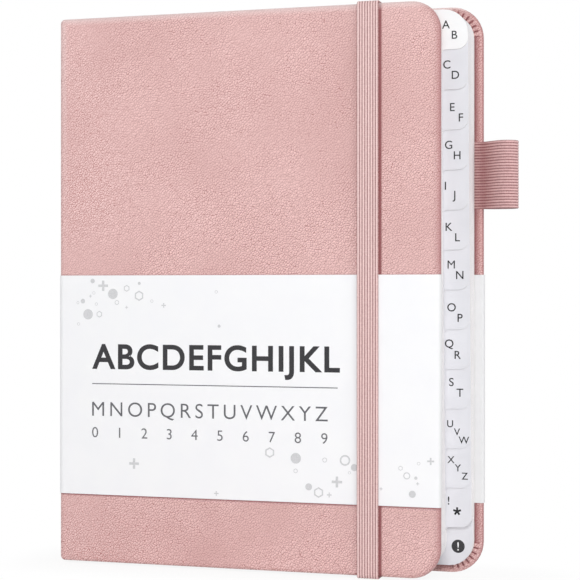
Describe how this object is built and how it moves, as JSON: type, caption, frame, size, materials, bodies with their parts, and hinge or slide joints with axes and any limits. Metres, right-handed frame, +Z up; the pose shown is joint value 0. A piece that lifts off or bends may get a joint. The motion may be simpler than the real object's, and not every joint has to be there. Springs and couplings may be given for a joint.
{
  "type": "address book",
  "caption": "Hardcover address book with a wider rear cover, step-cut index tabs, an elastic closure, a pen loop and a paper sleeve; it opens flat on two spine hinges.",
  "frame": {"origin": "middle of the bottom of the standing book's box, under the elastic closure", "axes": "+Z up along the spine, +Y from the front cover to the rear cover, +X from the spine to the fore edge"},
  "size_m": [0.1762, 0.0226, 0.2117],
  "materials": {
    "pink_leather": "fine pebble grain",
    "greyboard": "raw grey board",
    "endpaper": "smooth uncoated",
    "page_paper": "smooth uncoated",
    "lining_gauze": "glued gauze",
    "pink_webbing": "ribbed elastic webbing",
    "pink_elastic": "woven elastic with lengthwise ribs",
    "sleeve_paper": "smooth white card"
  },
  "bodies": {
    "rear_cover": {"rear_board": "greyboard", "rear_leather": "pink_leather", "rear_endpaper": "endpaper", "rear_flyleaf": "endpaper", "spine_lining": "lining_gauze", "pen_loop": "pink_webbing", "closure_elastic": "pink_elastic", "closure_foot": "pink_elastic", "sleeve_rear": "sleeve_paper"},
    "spine": {"spine_board": "greyboard", "spine_leather": "pink_leather", "sleeve_spine": "sleeve_paper"},
    "front_cover": {"front_board": "greyboard", "front_leather": "pink_leather", "front_endpaper": "endpaper", "sleeve_front": "sleeve_paper"},
    "front_flyleaf_leaves": {"front_flyleaf": "endpaper"},
    "section_ab_leaves": {"section_ab": "page_paper"},
    "section_cd_leaves": {"section_cd": "page_paper"},
    "section_ef_leaves": {"section_ef": "page_paper"},
    "section_gh_leaves": {"section_gh": "page_paper"},
    "section_ij_leaves": {"section_ij": "page_paper"},
    "section_kl_leaves": {"section_kl": "page_paper"},
    "section_mn_leaves": {"section_mn": "page_paper"},
    "section_op_leaves": {"section_op": "page_paper"},
    "section_qr_leaves": {"section_qr": "page_paper"},
    "section_st_leaves": {"section_st": "page_paper"},
    "section_uvw_leaves": {"section_uvw": "page_paper"},
    "section_xyz_leaves": {"section_xyz": "page_paper"},
    "section_notes_leaves": {"section_notes": "page_paper"},
    "section_urgent_leaves": {"section_urgent": "page_paper"}
  },
  "joints": [
    {"name": "rear_hinge", "type": "hinge", "parent": "rear_cover", "child": "spine", "pos_m": [-0.08737, 0.01005, 0.10585], "axis": [0, 0, -1], "range_deg": [0, 90], "deforming": ["closure_elastic", "closure_foot", "spine_lining"]},
    {"name": "front_hinge", "type": "hinge", "parent": "spine", "child": "front_cover", "pos_m": [-0.08737, -0.00975, 0.10585], "axis": [0, 0, -1], "range_deg": [0, 90], "deforming": ["closure_elastic", "closure_foot", "spine_lining"]},
    {"name": "front_flyleaf_turn", "type": "hinge", "parent": "rear_cover", "child": "front_flyleaf_leaves", "pos_m": [-0.0851, -0.00205, 0.10585], "axis": [0, 0, -1], "range_deg": [0, 180], "deforming": ["closure_elastic", "closure_foot", "spine_lining"]},
    {"name": "section_ab_turn", "type": "hinge", "parent": "rear_cover", "child": "section_ab_leaves", "pos_m": [-0.0851, -0.00205, 0.10585], "axis": [0, 0, -1], "range_deg": [0, 178.4], "deforming": ["closure_elastic", "closure_foot", "spine_lining"]},
    {"name": "section_cd_turn", "type": "hinge", "parent": "rear_cover", "child": "section_cd_leaves", "pos_m": [-0.0851, -0.00205, 0.10585], "axis": [0, 0, -1], "range_deg": [0, 176.8], "deforming": ["closure_elastic", "closure_foot", "spine_lining"]},
    {"name": "section_ef_turn", "type": "hinge", "parent": "rear_cover", "child": "section_ef_leaves", "pos_m": [-0.0851, -0.00205, 0.10585], "axis": [0, 0, -1], "range_deg": [0, 175.2], "deforming": ["closure_elastic", "closure_foot", "spine_lining"]},
    {"name": "section_gh_turn", "type": "hinge", "parent": "rear_cover", "child": "section_gh_leaves", "pos_m": [-0.0851, -0.00205, 0.10585], "axis": [0, 0, -1], "range_deg": [0, 173.6], "deforming": ["closure_elastic", "closure_foot", "spine_lining"]},
    {"name": "section_ij_turn", "type": "hinge", "parent": "rear_cover", "child": "section_ij_leaves", "pos_m": [-0.0851, -0.00205, 0.10585], "axis": [0, 0, -1], "range_deg": [0, 172], "deforming": ["closure_elastic", "closure_foot", "spine_lining"]},
    {"name": "section_kl_turn", "type": "hinge", "parent": "rear_cover", "child": "section_kl_leaves", "pos_m": [-0.0851, -0.00205, 0.10585], "axis": [0, 0, -1], "range_deg": [0, 170.4], "deforming": ["closure_elastic", "closure_foot", "spine_lining"]},
    {"name": "section_mn_turn", "type": "hinge", "parent": "rear_cover", "child": "section_mn_leaves", "pos_m": [-0.0851, -0.00205, 0.10585], "axis": [0, 0, -1], "range_deg": [0, 168.8], "deforming": ["closure_elastic", "closure_foot", "spine_lining"]},
    {"name": "section_op_turn", "type": "hinge", "parent": "rear_cover", "child": "section_op_leaves", "pos_m": [-0.0851, -0.00205, 0.10585], "axis": [0, 0, -1], "range_deg": [0, 11.2], "deforming": ["closure_elastic", "closure_foot", "spine_lining"]},
    {"name": "section_qr_turn", "type": "hinge", "parent": "rear_cover", "child": "section_qr_leaves", "pos_m": [-0.0851, -0.00205, 0.10585], "axis": [0, 0, -1], "range_deg": [0, 9.6], "deforming": ["closure_elastic", "closure_foot", "spine_lining"]},
    {"name": "section_st_turn", "type": "hinge", "parent": "rear_cover", "child": "section_st_leaves", "pos_m": [-0.0851, -0.00205, 0.10585], "axis": [0, 0, -1], "range_deg": [0, 8], "deforming": ["closure_elastic", "closure_foot", "spine_lining"]},
    {"name": "section_uvw_turn", "type": "hinge", "parent": "rear_cover", "child": "section_uvw_leaves", "pos_m": [-0.0851, -0.00205, 0.10585], "axis": [0, 0, -1], "range_deg": [0, 6.4], "deforming": ["closure_elastic", "closure_foot", "spine_lining"]},
    {"name": "section_xyz_turn", "type": "hinge", "parent": "rear_cover", "child": "section_xyz_leaves", "pos_m": [-0.0851, -0.00205, 0.10585], "axis": [0, 0, -1], "range_deg": [0, 4.8], "deforming": ["closure_elastic", "closure_foot", "spine_lining"]},
    {"name": "section_notes_turn", "type": "hinge", "parent": "rear_cover", "child": "section_notes_leaves", "pos_m": [-0.0851, -0.00205, 0.10585], "axis": [0, 0, -1], "range_deg": [0, 3.2], "deforming": ["closure_elastic", "closure_foot", "spine_lining"]},
    {"name": "section_urgent_turn", "type": "hinge", "parent": "rear_cover", "child": "section_urgent_leaves", "pos_m": [-0.0851, -0.00205, 0.10585], "axis": [0, 0, -1], "range_deg": [0, 1.6], "deforming": ["closure_elastic", "closure_foot", "spine_lining"]}
  ],
  "couplings": [
    {"joint": "front_hinge", "follows": "rear_hinge", "ratio": 1},
    {"joint": "front_flyleaf_turn", "follows": "rear_hinge", "ratio": 2},
    {"joint": "section_ab_turn", "follows": "rear_hinge", "ratio": 1.9822},
    {"joint": "section_cd_turn", "follows": "rear_hinge", "ratio": 1.9644},
    {"joint": "section_ef_turn", "follows": "rear_hinge", "ratio": 1.9467},
    {"joint": "section_gh_turn", "follows": "rear_hinge", "ratio": 1.9289},
    {"joint": "section_ij_turn", "follows": "rear_hinge", "ratio": 1.9111},
    {"joint": "section_kl_turn", "follows": "rear_hinge", "ratio": 1.8933},
    {"joint": "section_mn_turn", "follows": "rear_hinge", "ratio": 1.8756},
    {"joint": "section_op_turn", "follows": "rear_hinge", "ratio": 0.12444},
    {"joint": "section_qr_turn", "follows": "rear_hinge", "ratio": 0.10667},
    {"joint": "section_st_turn", "follows": "rear_hinge", "ratio": 0.088889},
    {"joint": "section_uvw_turn", "follows": "rear_hinge", "ratio": 0.071111},
    {"joint": "section_xyz_turn", "follows": "rear_hinge", "ratio": 0.053333},
    {"joint": "section_notes_turn", "follows": "rear_hinge", "ratio": 0.035556},
    {"joint": "section_urgent_turn", "follows": "rear_hinge", "ratio": 0.017778}
  ]
}
